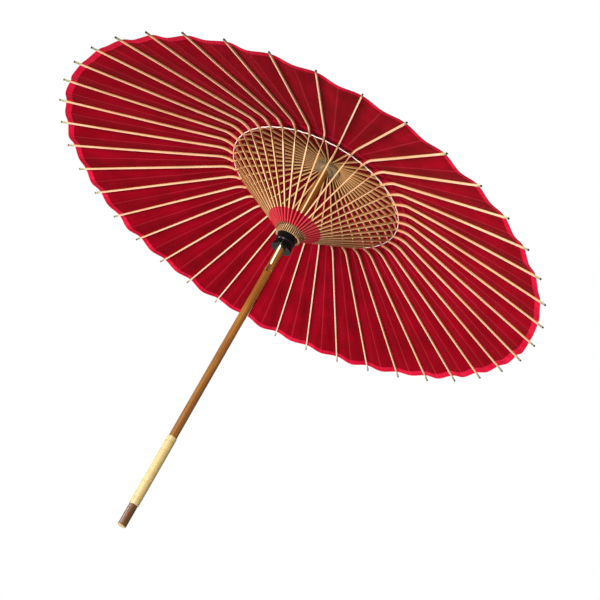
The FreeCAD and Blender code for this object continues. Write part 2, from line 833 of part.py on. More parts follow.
def make_catch():
    """The springy leaf that holds the runner up, and the pin it turns on."""
    body = new_body("catch_leaf")
    sketch = new_sketch(body, "side", "YZ_Plane")
    draw_polygon(
        sketch,
        [
            (("catch_foot_front", -1), ("catch_foot_low", 1)),
            (("catch_foot_back", -1), ("catch_foot_low", 1)),
            (("catch_bend_back", -1), ("catch_bend_height", 1)),
            (("catch_top_back", -1), ("catch_top", 1)),
            (("catch_top_front", -1), ("catch_top", 1)),
            (("catch_bend_front", -1), ("catch_bend_height", 1)),
        ],
    )
    pad = body.newObject("PartDesign::Pad", "catch_leaf_pad")
    pad.Profile = sketch
    pad.Midplane = True
    pad.Length = size("catch_width")
    bind(pad, Length="sizes.catch_width")
    doc.recompute()
    cross_hole(
        body, "pin_hole", "YZ_Plane", "catch_pin_hole", ("catch_pin_offset", -1),
        "catch_pin_height",
    )
    cross_pin(
        "catch_pin", "catch_pin_radius", "catch_pin_length", "-sizes.catch_pin_offset",
        "sizes.catch_pin_height",
    )


def cross_pin(label, radius, length, along_y, height):
    """A round pin that lies along X."""
    pin = primitive(
        "Cylinder",
        label,
        Radius=f"sizes.{radius}",
        Height=f"sizes.{length}",
        Placement=place(f"-sizes.{length} / 2", along_y, height, pitch=90),
    )
    keep(pin, label)


def make_threads():
    """The rings of cotton thread that the ribs and struts turn on."""
    for label, radius, height in (
        ("hub_thread", "sizes.hub_joint_radius", "sizes.hub_joint_height"),
        ("joint_thread", "sizes.middle_radius", "sizes.middle_height"),
        ("runner_thread", "sizes.runner_joint_radius", "sizes.runner_joint_height"),
    ):
        ring = primitive(
            "Torus",
            label,
            Radius1=radius,
            Radius2="sizes.thread_radius",
            Placement=place("0", "0", height),
        )
        keep(ring, label)


# --- paper --------------------------------------------------------------------------------


def make_bands():
    """The canopy, its two bands and the collar round the struts, all cones of paper."""
    for label, inner, outer in BANDS:
        body = new_body(label)
        revolve(
            body,
            [
                (inner, f"{label}_inner_low"),
                (outer, f"{label}_outer_low"),
                (outer, f"{label}_outer_high"),
                (inner, f"{label}_inner_high"),
            ],
        )


def make_cap():
    """The paper cap over the hub, tied round its neck."""
    body = new_body("cap")
    revolve(
        body,
        [
            (None, "cap_crown_top"),
            ("cap_crown_flat", "cap_crown_top"),
            ("cap_crown_radius", "cap_crown_shoulder"),
            ("cap_crown_radius", "cap_crown_low"),
            ("cap_tie_radius", "cap_tie_height"),
            ("cap_brow_radius", "cap_brow_height"),
            ("cap_skirt_radius", "cap_skirt_height"),
            ("cap_skirt_radius", "cap_skirt_inside"),
            ("cap_brow_radius", "cap_brow_inside"),
            ("cap_tie_inside", "cap_tie_height"),
            ("cap_crown_inside", "cap_crown_low"),
            ("cap_crown_inside", "cap_shoulder_inside"),
            ("cap_flat_inside", "cap_top_inside"),
            (None, "cap_top_inside"),
        ],
    )


# --- the whole umbrella -------------------------------------------------------------------


def check_document():
    """Stop if any object failed, or any sub-part is not a sound solid."""
    for thing in doc.Objects:
        if "Invalid" in thing.State or "Error" in thing.State:
            raise RuntimeError(f"{thing.Name} failed: {thing.State}")
    labels = [part.Label for part in parts]
    if len(set(labels)) != len(labels):
        raise RuntimeError("two sub-parts share a label")
    for part in parts:
        shape = part.Shape
        if shape.isNull() or not shape.isValid() or not shape.Solids:
            raise RuntimeError(f"{part.Label} is not a valid solid")


def write_parts():
    """One STEP file for each sub-part."""
    os.makedirs("parts", exist_ok=True)
    for part in parts:
        part.Shape.exportStep(f"parts/{part.Label}.step")
        print(f"{part.Label}: {part.Shape.Volume:.1f} mm3, {len(part.Shape.Solids)} solids")


make_shaft()
make_grip()
make_top_hub()
cross_pin("hub_peg", "peg_radius", "peg_length", "0", "sizes.peg_height")
make_runner()
make_catch()
make_threads()
make_ribs()
make_struts()
make_bands()
make_cap()
doc.recompute()
check_document()
write_parts()
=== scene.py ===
"""The looks of an open oil paper umbrella, built round its CAD frame, in metres.

The ribs, four of the struts, the shaft, hub, runner and catch are CAD parts with finishes.
The paper, the threads, the grip's winding, the cap and the other struts are made here.  The
paper is laid as one cone of gores: each strip is centred on a rib and meets its neighbours at
the fold halfway between two ribs.
"""

import json
import math
import random

import bmesh
import bpy
from mathutils import Matrix, Quaternion, Vector, noise
from mathutils.bvhtree import BVHTree

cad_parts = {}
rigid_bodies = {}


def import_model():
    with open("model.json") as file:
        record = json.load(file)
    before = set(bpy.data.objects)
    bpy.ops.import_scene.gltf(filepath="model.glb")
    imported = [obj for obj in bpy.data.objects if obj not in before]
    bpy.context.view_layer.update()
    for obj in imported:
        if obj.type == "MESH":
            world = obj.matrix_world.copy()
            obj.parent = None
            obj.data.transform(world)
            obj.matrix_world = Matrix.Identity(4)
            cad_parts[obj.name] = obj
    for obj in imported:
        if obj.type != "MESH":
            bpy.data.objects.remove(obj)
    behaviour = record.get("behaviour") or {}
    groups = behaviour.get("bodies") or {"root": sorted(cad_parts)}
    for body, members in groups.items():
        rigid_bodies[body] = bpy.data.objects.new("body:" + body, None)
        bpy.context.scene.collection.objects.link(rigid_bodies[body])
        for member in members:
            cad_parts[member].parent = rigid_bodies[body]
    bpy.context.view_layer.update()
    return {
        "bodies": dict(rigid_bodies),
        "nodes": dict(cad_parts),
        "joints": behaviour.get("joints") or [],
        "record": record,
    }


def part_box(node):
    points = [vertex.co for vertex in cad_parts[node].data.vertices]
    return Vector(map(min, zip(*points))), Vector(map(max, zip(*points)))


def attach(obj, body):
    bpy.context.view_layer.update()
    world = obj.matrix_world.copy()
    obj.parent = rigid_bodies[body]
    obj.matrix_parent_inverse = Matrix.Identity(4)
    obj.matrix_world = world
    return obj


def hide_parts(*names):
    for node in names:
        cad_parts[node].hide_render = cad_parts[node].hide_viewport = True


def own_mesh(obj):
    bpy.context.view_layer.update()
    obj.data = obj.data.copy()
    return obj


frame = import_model()

NODES = frame["nodes"]
JOINTS = {joint["name"]: joint for joint in frame["joints"]}
MM = 0.001
CHANCE = random.Random(40)

# --- what the frame says ------------------------------------------------------------------

RIBS = sum(1 for body in frame["bodies"] if body.startswith("rib_"))
STEP = math.tau / RIBS
HALF_STEP = STEP / 2


def ring_place(joint):
    """Radius, azimuth and height of a joint that lies on a ring round the shaft."""
    x, y, z = JOINTS[joint]["pos_m"]
    return math.hypot(x, y), math.atan2(y, x), z


def azimuth(number):
    """The direction of rib and strut number, counted from 1."""
    return ring_place("rib_01_hinge")[1] + (number - 1) * STEP


def thread_ring(node):
    """Radius and height of a thread ring's middle line."""
    low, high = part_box(node)
    return high.x - (high.z - low.z) / 2, (low.z + high.z) / 2


def direction(angle):
    """Level unit vector away from the shaft."""
    return Vector((math.cos(angle), math.sin(angle), 0))


def sideways(angle):
    """Level unit vector along the rim."""
    return Vector((-math.sin(angle), math.cos(angle), 0))


class Cone:
    """A CAD ring of paper: its edges' radii and the height of its underside."""

    def __init__(self, node):
        points = [(math.hypot(v.co.x, v.co.y), v.co.z) for v in NODES[node].data.vertices]
        self.inner = min(r for r, z in points)
        self.outer = max(r for r, z in points)
        self.inner_height = min(z for r, z in points if r < self.inner + MM)
        self.outer_height = min(z for r, z in points if r > self.outer - MM)

    def height(self, radius):
        """Height of the underside at a distance from the shaft's axis."""
        share = (radius - self.inner) / (self.outer - self.inner)
        return self.inner_height + share * (self.outer_height - self.inner_height)


CANOPY = Cone("canopy")
EDGE_BAND = Cone("edge_band")
MIDDLE_BAND = Cone("middle_band")
COLLAR = Cone("strut_collar")
MIDDLE_RADIUS, _, MIDDLE_HEIGHT = ring_place("strut_01_hinge")
RUNNER_RADIUS, RUNNER_HEIGHT = thread_ring("runner_thread")
CATCH_HEIGHT = JOINTS["catch_press"]["pos_m"][2]
RIB_ROOT = ring_place("rib_01_hinge")[0] + 10 * MM  # radius where a rib's tongue ends
NODE_REACH = 60 * MM  # of a rib's deep part round the middle joint
NODE_STEP = 3 * MM  # between points of a rib's outline there
PLAIN_STEP = 30 * MM  # between its other points
TIP_INSET = 3 * MM  # of its last point
BESIDE_SLOT = 1 * MM  # from the rib's middle plane, past the slot for the strut


def rib_outline():
    """Radius and height of points along the lower face of rib 1."""
    mesh = NODES["rib_01"].data
    solid = BVHTree.FromPolygons([v.co for v in mesh.vertices], [p.vertices for p in mesh.polygons])
    radii = [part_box("rib_01")[1].x - TIP_INSET]
    while radii[-1] > RIB_ROOT:
        nearby = abs(radii[-1] - MIDDLE_RADIUS) < NODE_REACH
        radii.append(radii[-1] - (NODE_STEP if nearby else PLAIN_STEP))
    outline = []
    for radius in reversed(radii):
        start = direction(azimuth(1)) * radius + sideways(azimuth(1)) * BESIDE_SLOT
        hit = solid.ray_cast(start, Vector((0, 0, 1)))[0]
        if hit:
            outline.append((radius, hit.z))
    return outline


# --- node materials -----------------------------------------------------------------------


def paint(red, green, blue):
    """A display colour, 0 to 255, as the linear colour that shaders take."""
    def linear(value):
        share = value / 255
        return share / 12.92 if share <= 0.04045 else ((share + 0.055) / 1.055) ** 2.4

    return (linear(red), linear(green), linear(blue), 1)


FIBRES_ALONG = 9  # noise scale along split bamboo, per metre
FIBRES_ACROSS = 900
FLANK_TURN = (0.45, 0.75)  # how much of a normal lies along the rim where flanks start, end


class Finish:
    """A material with a Principled shader, and short ways to add nodes to it."""

    def __init__(self, name, roughness, **constants):
        self.material = bpy.data.materials.new(name)
        self.material.use_nodes = True
        self.tree = self.material.node_tree
        self.shader = self.tree.nodes["Principled BSDF"]
        self.shader.inputs["Roughness"].default_value = roughness
        for socket, value in constants.items():
            self.shader.inputs[socket.replace("_", " ")].default_value = value
        where = self.tree.nodes.new("ShaderNodeTexCoord")
        self.place = where.outputs["Object"]
        self.normal = where.outputs["Normal"]
        self.x, self.y, self.z = self.split(self.place)

    def put(self, socket, value):
        """Joins a node's output to a socket, or sets the socket to a number."""
        if isinstance(value, bpy.types.NodeSocket):
            self.tree.links.new(value, socket)
        else:
            socket.default_value = value

    def split(self, vector):
        node = self.tree.nodes.new("ShaderNodeSeparateXYZ")
        self.put(node.inputs[0], vector)
        return node.outputs[0], node.outputs[1], node.outputs[2]

    def join(self, x, y, z):
        node = self.tree.nodes.new("ShaderNodeCombineXYZ")
        for socket, value in zip(node.inputs, (x, y, z)):
            self.put(socket, value)
        return node.outputs[0]

    def sum(self, operation, *values):
        """A Math node."""
        node = self.tree.nodes.new("ShaderNodeMath")
        node.operation = operation
        for socket, value in zip(node.inputs, values):
            self.put(socket, value)
        return node.outputs[0]

    def scaled(self, value, factor):
        return self.sum("MULTIPLY", value, factor)

    def noise(self, vector, scale, detail=4.0, roughness=0.55):
        """Noise from 0 to 1."""
        node = self.tree.nodes.new("ShaderNodeTexNoise")
        self.put(node.inputs["Vector"], vector)
        node.inputs["Scale"].default_value = scale
        node.inputs["Detail"].default_value = detail
        node.inputs["Roughness"].default_value = roughness
        return node.outputs["Fac"]

    def grain(self, across, along, detail=5.0):
        """Noise drawn out along the shaft, with its scales across and along it."""
        level = (self.scaled(self.x, across), self.scaled(self.y, across))
        return self.noise(self.join(*level, self.scaled(self.z, along)), 1.0, detail)

    def fibres(self, radius, angle, across):
        """Noise drawn out along a rib or strut, as split bamboo shows."""
        where = self.join(
            self.scaled(radius, FIBRES_ALONG), self.scaled(across, FIBRES_ACROSS), angle
        )
        return self.noise(where, 1.0, 5.0, 0.6)

    def stalks(self, radius, angle, each, along):
        """Noise that differs from rib to rib, each cut from its own part of the stalk."""
        where = self.join(self.scaled(angle, each), self.scaled(radius, along), 0.0)
        return self.noise(where, 1.0, 2.0)

    def ramp(self, value, *stops):
        """A colour for each value; stops are (place, colour)."""
        node = self.tree.nodes.new("ShaderNodeValToRGB")
        elements = node.color_ramp.elements
        while len(elements) < len(stops):
            elements.new(0.5)
        for element, (place, colour) in zip(elements, stops):
            element.position = place
            element.color = colour
        self.put(node.inputs[0], value)
        return node.outputs["Color"]

    def step(self, value, low, high):
        """0 below low, 1 above high, smooth between; high may be the lower one."""
        node = self.tree.nodes.new("ShaderNodeMapRange")
        node.interpolation_type = "SMOOTHSTEP"
        self.put(node.inputs["Value"], value)
        swap = low > high
        node.inputs["From Min"].default_value = min(low, high)
        node.inputs["From Max"].default_value = max(low, high)
        node.inputs["To Min"].default_value = 1.0 if swap else 0.0
        node.inputs["To Max"].default_value = 0.0 if swap else 1.0
        return node.outputs["Result"]

    def mix(self, share, first, second, blend="MIX"):
        """Two colours mixed."""
        node = self.tree.nodes.new("ShaderNodeMix")
        node.data_type = "RGBA"
        node.blend_type = blend
        self.put(node.inputs[0], share)
        self.put(node.inputs[6], first)
        self.put(node.inputs[7], second)
        return node.outputs[2]

    def colour(self, value):
        self.put(self.shader.inputs["Base Color"], value)

    def rough(self, value, low, high):
        """Roughness that follows a value from 0 to 1."""
        node = self.tree.nodes.new("ShaderNodeMapRange")
        self.put(node.inputs["Value"], value)
        node.inputs["To Min"].default_value = low
        node.inputs["To Max"].default_value = high
        self.put(self.shader.inputs["Roughness"], node.outputs["Result"])

    def follow(self, value, points):
        """The height, at a value, of a line through points (value, height)."""
        left, right = points[0][0], points[-1][0]
        low, high = min(y for _, y in points), max(y for _, y in points)
        node = self.tree.nodes.new("ShaderNodeFloatCurve")
        line = node.mapping.curves[0]
        while len(line.points) < len(points):
            line.points.new(0.5, 0.5)
        for knot, (x, y) in zip(line.points, points):
            knot.location = ((x - left) / (right - left), (y - low) / (high - low))
            knot.handle_type = "VECTOR"
        node.mapping.update()
        along = self.scaled(self.sum("SUBTRACT", value, left), 1 / (right - left))
        self.put(node.inputs["Value"], along)
        return self.sum("ADD", self.scaled(node.outputs[0], high - low), low)

    def bump(self, height, distance, strength=1.0):
        """Relief of a height from 0 to 1, times a distance."""
        node = self.tree.nodes.new("ShaderNodeBump")
        node.inputs["Strength"].default_value = strength
        node.inputs["Distance"].default_value = distance
        self.put(node.inputs["Height"], height)
        self.put(self.shader.inputs["Normal"], node.outputs["Normal"])

    def around(self):
        """Distance from the axis, azimuth, distance from the nearest rib's middle line, and
        the share of the way from that line to the fold between two ribs."""
        radius = self.sum(
            "SQRT",
            self.sum("ADD", self.sum("POWER", self.x, 2.0), self.sum("POWER", self.y, 2.0)),
        )
        angle = self.sum("ARCTAN2", self.y, self.x)
        offset = self.sum("SUBTRACT", self.sum("WRAP", angle, STEP, 0.0), HALF_STEP)
        across = self.sum("MULTIPLY", radius, offset)
        share = self.scaled(self.sum("ABSOLUTE", offset), 1 / HALF_STEP)
        return radius, angle, across, share

    def flank(self, radius):
        """1 on faces that look along the rim, 0 on faces that look up, down, in or out."""
        nx, ny, _ = self.split(self.normal)
        turned = self.sum(
            "SUBTRACT",
            self.sum("MULTIPLY", self.x, ny),
            self.sum("MULTIPLY", self.y, nx),
        )
        return self.step(self.sum("ABSOLUTE", self.sum("DIVIDE", turned, radius)), *FLANK_TURN)


INSIDE_RING = (4 * MM, 24 * MM)  # inside the joint ring, where painted warm bounce light turns the ribs' cut faces golden and painted shade darkens their flanks
RIB_DEPTH = 3.9 * MM  # of flank that shows below the paper
SHADE_DEPTH = (0.8 * MM, 3.6 * MM)  # where painted shade darkens the flank up towards the paper
PAST_PAPER = (-2 * MM, 4 * MM)  # from the paper's edge, where a rib turns weathered
TIP_MARK = (2.4 * MM, 0.4 * MM)  # from a rib's end, where it turns dark


def rib_finish():
    """Split bamboo: pale cut faces, golden flanks with painted shade up towards the paper,
    painted warm bounce light on the cut faces and painted shade on the flanks inside the
    joint ring, weathered ends past the paper, and red paper pasted on the flanks beside the
    joint ring."""
    f = Finish("rib_bamboo", 0.5, Specular_IOR_Level=0.3)
    radius, angle, across, _ = f.around()
    fibres = f.fibres(radius, angle, across)
    stalk = f.stalks(radius, angle, 30, 4)
    cut = f.ramp(
        fibres,
        (0.25, paint(224, 160, 128)), (0.5, paint(246, 194, 164)), (0.8, paint(255, 222, 200)),
    )
    cut = f.mix(f.step(stalk, 0.45, 0.75), cut, paint(232, 180, 140))
    # Inside the joint ring: painted warm bounce light on the cut faces, painted shade on the
    # flanks.
    inside = f.step(radius, *(MIDDLE_RADIUS - depth for depth in INSIDE_RING))
    cut = f.mix(inside, cut, paint(216, 166, 104))
    flank = f.ramp(
        fibres,
        (0.25, paint(196, 134, 86)), (0.5, paint(226, 170, 118)), (0.8, paint(244, 200, 152)),
    )
    flank = f.mix(f.scaled(inside, 0.7), flank, paint(132, 82, 36))
    above = f.sum("SUBTRACT", f.z, f.follow(radius, rib_outline()))
    # Painted shade: the flank darkens up towards the paper.
    flank = f.mix(f.scaled(f.step(above, *SHADE_DEPTH), 0.6), flank, paint(96, 54, 20))
    paper = f.ramp(fibres, (0.3, paint(128, 2, 20)), (0.7, paint(150, 8, 30)))
    pasted = f.step(above, RIB_DEPTH, RIB_DEPTH + 0.8 * MM)
    flank = f.mix(pasted, flank, paper)
    bare = f.mix(f.flank(radius), cut, flank)
    weathered = f.ramp(fibres, (0.3, paint(112, 112, 78)), (0.7, paint(176, 170, 132)))
    past = f.step(radius, *(CANOPY.outer + reach for reach in PAST_PAPER))
    bare = f.mix(past, bare, weathered)
    tip = f.step(radius, *(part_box("rib_01")[1].x - inset for inset in TIP_MARK))
    f.colour(f.mix(tip, bare, paint(44, 42, 30)))
    f.rough(fibres, 0.42, 0.62)
    f.bump(fibres, 0.1 * MM)
    return f.material


STRUT_ROOT_SHADE = (9 * MM, 5 * MM)  # outside the runner's thread, where painted shade darkens the struts' roots in the runner's slots


def strut_finish():
    """Slimmer split bamboo, golden brown, with painted shade at the roots in the runner's slots."""
    f = Finish("strut_bamboo", 0.5, Specular_IOR_Level=0.3)
    radius, angle, across, _ = f.around()
    fibres = f.fibres(radius, angle, across)
    stalk = f.stalks(radius, angle, 25, 5)
    cut = f.ramp(
        fibres,
        (0.25, paint(198, 142, 102)), (0.5, paint(224, 176, 134)), (0.8, paint(242, 206, 170)),
    )
    cut = f.mix(f.step(stalk, 0.4, 0.7), cut, paint(204, 154, 102))
    flank = f.ramp(
        fibres, (0.25, paint(104, 60, 28)), (0.5, paint(140, 90, 44)), (0.8, paint(170, 122, 70))
    )
    # Painted shade on the roots, where they sit in the runner's slots.
    root = f.step(radius, *(RUNNER_RADIUS + reach for reach in STRUT_ROOT_SHADE))
    f.colour(f.mix(f.scaled(root, 0.8), f.mix(f.flank(radius), cut, flank), paint(60, 32, 18)))
    f.rough(fibres, 0.42, 0.6)
    f.bump(fibres, 0.1 * MM)
    return f.material


FOOT_FADE = 4 * MM  # over which the shaft darkens at the grip's lower end
CUT_END = (1.6 * MM, 0.6 * MM)  # above the shaft's lower end, where its pale cut face starts


def shaft_finish():
    """Smoked and oiled bamboo, amber with darker streaks along it."""
    f = Finish("shaft_bamboo", 0.3, Coat_Weight=0.5, Coat_Roughness=0.16)
    streaks = f.grain(420, 7)
    clouds = f.grain(60, 9, 3.0)
    skin = f.ramp(
        streaks,
        (0.3, paint(96, 52, 10)), (0.5, paint(142, 90, 26)), (0.75, paint(178, 128, 50)),
    )
    skin = f.mix(f.step(clouds, 0.35, 0.7), skin, paint(124, 72, 20))
    grip_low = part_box("grip_wrap")[0].z
    foot = f.step(f.z, grip_low + FOOT_FADE, grip_low)
    skin = f.mix(f.scaled(foot, 0.75), skin, paint(74, 46, 16))
    cut = f.step(f.z, *(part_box("shaft")[0].z + height for height in CUT_END))
    f.colour(f.mix(cut, skin, paint(206, 164, 96)))
    f.rough(streaks, 0.26, 0.42)
    f.bump(streaks, 0.08 * MM)
    return f.material


def rattan_finish():
    """Peeled rattan, pale yellow, with fibres that run round the grip."""
    f = Finish("rattan", 0.35, Coat_Weight=0.35, Coat_Roughness=0.25)
    radius, angle, _, _ = f.around()
    fibres = f.noise(f.join(f.scaled(angle, 6), f.scaled(f.z, 2600), radius), 1.0, 5.0, 0.6)
    turns = f.noise(f.join(0.0, 0.0, f.scaled(f.z, 150)), 1.0, 2.0)
    tone = f.ramp(
        fibres,
        (0.25, paint(172, 142, 82)), (0.5, paint(198, 172, 112)), (0.8, paint(216, 196, 144)),
    )
    f.colour(f.mix(f.step(turns, 0.4, 0.75), tone, paint(182, 150, 88)))
    f.rough(fibres, 0.3, 0.48)
    f.bump(fibres, 0.06 * MM)
    return f.material


def wood_finish():
    """The hub's plain turned wood."""
    f = Finish("hub_wood", 0.6)
    grain = f.grain(300, 40)
    f.colour(
        f.ramp(
            grain,
            (0.3, paint(104, 82, 54)), (0.55, paint(148, 122, 84)), (0.8, paint(182, 156, 114)),
        )
    )
    f.rough(grain, 0.5, 0.7)
    f.bump(grain, 0.12 * MM)
    return f.material


BODY_HEIGHT = 20 * MM  # from the runner's lower end to where bare wood may start
BODY_RADIUS = 22.6 * MM  # of the lacquered part
TEETH_BARE_BELOW = 10 * MM  # under the thread, where all the teeth are bare
SLOT_SHADE_EDGE = (1.5 * MM, 1.2 * MM)  # from a slot's middle, where its painted shade starts and is full
SLOT_START = (3 * MM, 4 * MM)  # outside the lacquered part
LACQUER_WAVE = 0.4 * MM  # of the brushed edge of the lacquer
LACQUER_WAVES = 14


def runner_finish():
    """Turned wood: bare teeth with painted shade in their slots, and black lacquer below them."""
    f = Finish("runner_lacquer", 0.3, Specular_IOR_Level=0.15)
    radius, angle, across, _ = f.around()
    grain = f.grain(300, 60)
    wood = f.ramp(
        grain,
        (0.3, paint(160, 118, 76)), (0.55, paint(208, 166, 116)), (0.8, paint(232, 198, 150)),
    )
    # Painted shade in the slots between the teeth.
    slot = f.step(f.sum("ABSOLUTE", across), *SLOT_SHADE_EDGE)
    toothed = f.step(radius, *(BODY_RADIUS + reach for reach in SLOT_START))
    slot = f.sum("MULTIPLY", slot, toothed)
    wood = f.mix(slot, wood, paint(40, 16, 8))
    wave = f.scaled(f.sum("COSINE", f.scaled(angle, LACQUER_WAVES)), LACQUER_WAVE)
    reach = f.sum("ADD", radius, wave)
    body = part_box("runner")[0].z + BODY_HEIGHT
    bare = f.sum(
        "MULTIPLY", f.step(reach, BODY_RADIUS, BODY_RADIUS + 0.5 * MM), f.step(f.z, body, body + MM)
    )
    teeth = RUNNER_HEIGHT - TEETH_BARE_BELOW
    bare = f.sum("MAXIMUM", bare, f.step(f.z, teeth, teeth + MM))
    brushed = f.noise(f.join(f.scaled(angle, 4), f.scaled(f.z, 500), radius), 1.0, 3.0)
    black = f.ramp(brushed, (0.3, paint(5, 5, 6)), (0.8, paint(18, 18, 20)))
    f.colour(f.mix(bare, black, wood))
    f.rough(bare, 0.26, 0.6)
    f.bump(grain, 0.05 * MM)
    return f.material


CATCH_FOOT_SHADE = 12 * MM  # of the catch's foot above its pin, which gets painted shade down in its slot in the shaft


def peg_finish(name, dark, light, shaded_below=None):
    """Pale planed bamboo for the catch and the pegs; the catch's foot gets painted shade, down in
    its slot in the shaft.
    """
    f = Finish(name, 0.4, Coat_Weight=0.2, Coat_Roughness=0.3)
    fibres = f.grain(500, 24, 4.0)
    colour = f.ramp(fibres, (0.3, dark), (0.75, light))
    if shaded_below:
        # Painted shade on the catch's foot, down in its slot in the shaft.
        foot_shade = f.step(f.z, shaded_below + MM, shaded_below - MM)
        colour = f.mix(foot_shade, colour, paint(58, 30, 10))
    f.colour(colour)
    f.rough(fibres, 0.35, 0.5)
    f.bump(fibres, 0.05 * MM)
    return f.material


def thread_finish():
    """Waxed cotton, pink white."""
    f = Finish("cotton_thread", 0.6, Sheen_Weight=0.3)
    fluff = f.noise(f.place, 1500, 3.0)
    f.colour(f.ramp(fluff, (0.3, paint(250, 222, 210)), (0.7, paint(255, 246, 238))))
    f.rough(fluff, 0.5, 0.75)
    f.bump(fluff, 0.1 * MM)
    return f.material


FOLD_MARK = paint(214, 60, 78)
RIB_SHADOW_BAND = (4 * MM, 1.6 * MM)  # from a rib's middle line, where painted shadow darkens the paper
FOLD_WIDTH = (0.028, 0.004)  # metres from the fold, divided by HALF_STEP
RING_SHADE_EDGE = (6 * MM, 2 * MM)  # outside the middle band, where painted shade starts to darken the paper in and beside the joint ring
RELIEF = 0.35 * MM  # of the paper's fibres


def ring_shaded_red(colour):
    """The red darkened by painted shade, for the paper inside and beside the joint ring."""
    red, green, blue, _ = colour
    return (0.6 * red, 0.6 * green, 0.6 * blue, 1)


def paper_finish(name, deep, middle, bright, rib_shadow_tone=0.45, fold=0.2):
    """Oiled washi: clouds, long fibres, painted shadow beside the ribs, painted shade inside the
    joint ring, and worn pale at the folds.
    """
    f = Finish(name, 0.5, Specular_IOR_Level=0.03)
    radius, angle, across, share = f.around()
    clouds = f.noise(f.place, 14, 5.0, 0.6)
    pulled = f.noise(f.join(f.scaled(radius, 3.5), f.scaled(across, 95), angle), 1.0, 4.0)
    fibres = f.noise(f.place, 260, 6.0, 0.7)
    tone = f.sum("ADD", f.scaled(clouds, 0.45), f.scaled(pulled, 0.35))
    tone = f.sum("ADD", tone, f.scaled(fibres, 0.2))
    colour = f.ramp(tone, (0.36, deep), (0.5, middle), (0.64, bright))
    # Painted shadow along both sides of each rib.
    rib_shadow = f.step(f.sum("ABSOLUTE", across), *RIB_SHADOW_BAND)
    colour = f.mix(rib_shadow, colour, (rib_shadow_tone, rib_shadow_tone, rib_shadow_tone, 1), "MULTIPLY")
    folded = f.step(f.sum("MULTIPLY", radius, f.sum("SUBTRACT", 1.0, share)), *FOLD_WIDTH)
    colour = f.mix(f.sum("MULTIPLY", folded, f.scaled(pulled, 2 * fold)), colour, FOLD_MARK)
    # Painted shade over the paper inside and beside the joint ring.
    ring_shade = f.step(radius, *(MIDDLE_BAND.outer + reach for reach in RING_SHADE_EDGE))
    colour = f.mix(f.scaled(ring_shade, 0.4), colour, ring_shaded_red(deep))
    f.colour(colour)
    f.rough(fibres, 0.6, 0.8)
    f.bump(f.sum("ADD", f.scaled(fibres, 0.5), f.scaled(pulled, 0.5)), RELIEF, 0.6)
    return f.material


PLEAT_HIGHLIGHT_LINE = (1.2 * MM, 0.5 * MM)  # from a strut's middle line, where the pleat's ridge gets a painted highlight


def collar_finish():
    """The runner collar's red paper, with painted highlights as pale lines along the pleats'
    ridges over the struts, and painted shade in the folds between them.
    """
    f = Finish("collar_paper", 0.5, Specular_IOR_Level=0.15)
    _, _, across, share = f.around()
    fibres = f.noise(f.place, 320, 5.0, 0.65)
    clouds = f.noise(f.place, 40, 3.0)
    red = f.ramp(
        f.sum("ADD", f.scaled(fibres, 0.5), f.scaled(clouds, 0.5)),
        (0.36, paint(122, 0, 16)), (0.5, paint(150, 1, 25)), (0.64, paint(172, 8, 37)),
    )
    # Painted shade in the folds between two struts.
    red = f.mix(f.scaled(f.step(share, 0.45, 0.9), 0.7), red, paint(72, 0, 8))
    # Painted highlight along each pleat's ridge over a strut.
    line = f.step(f.sum("ABSOLUTE", across), *PLEAT_HIGHLIGHT_LINE)
    f.colour(f.mix(f.scaled(line, 0.35), red, paint(238, 96, 92)))
    f.rough(fibres, 0.42, 0.6)
    f.bump(fibres, 0.2 * MM)
    return f.material


def cap_finish():
    """The cap's dark lacquered paper."""
    f = Finish("cap_paper", 0.4, Coat_Weight=0.3, Coat_Roughness=0.25)
    clouds = f.noise(f.place, 120, 5.0)
    f.colour(f.ramp(clouds, (0.3, paint(34, 12, 12)), (0.75, paint(74, 26, 24))))
    f.rough(clouds, 0.3, 0.5)
    f.bump(clouds, 0.5 * MM)
    return f.material


FINISHES = {
    "rib_bamboo": rib_finish(),
    "strut_bamboo": strut_finish(),
    "shaft_bamboo": shaft_finish(),
    "rattan": rattan_finish(),
    "hub_wood": wood_finish(),
    "black_lacquer": runner_finish(),
    "peg_bamboo": peg_finish("peg_bamboo", paint(196, 156, 100), paint(236, 206, 154)),
    "catch_bamboo": peg_finish(
        "catch_bamboo", paint(236, 208, 156), paint(255, 246, 220), CATCH_HEIGHT + CATCH_FOOT_SHADE
    ),
    "thread": thread_finish(),
    "canopy_paper": paper_finish(
        "canopy_paper", paint(104, 0, 10), paint(124, 0, 16), paint(144, 0, 24)
    ),
    "band_paper": paper_finish(
        "band_paper", paint(164, 4, 32), paint(186, 14, 46), paint(206, 32, 62), 0.9, 0.1
    ),
    "collar_paper": collar_finish(),
    "cap_paper": cap_finish(),
}


# --- mesh helpers -------------------------------------------------------------------------


def spaced(low, high, count):
    """Count values from low to high, both included."""
    return [low + (high - low) * i / (count - 1) for i in range(count)]


SAME_POINT = 0.001 * MM
THREAD_SHARP = 60
CANE_SHARP = 50


def new_piece(name, points, faces, slot, body, sharp=40):
    """A smooth mesh piece that rides on a body and takes a slot's finish; edges that turn
    more than sharp degrees stay crisp."""
    mesh = bpy.data.meshes.new(name)
    mesh.from_pydata([tuple(p) for p in points], [], faces)
    shape = bmesh.new()
    shape.from_mesh(mesh)
    bmesh.ops.remove_doubles(shape, verts=shape.verts, dist=SAME_POINT)
    bmesh.ops.recalc_face_normals(shape, faces=shape.faces)
    shape.to_mesh(mesh)
    shape.free()
    mesh.shade_smooth()
    mesh.set_sharp_from_angle(angle=math.radians(sharp))
    mesh.materials.append(FINISHES[slot])
    piece = bpy.data.objects.new(name, mesh)
    bpy.context.scene.collection.objects.link(piece)
    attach(piece, body)
    return piece


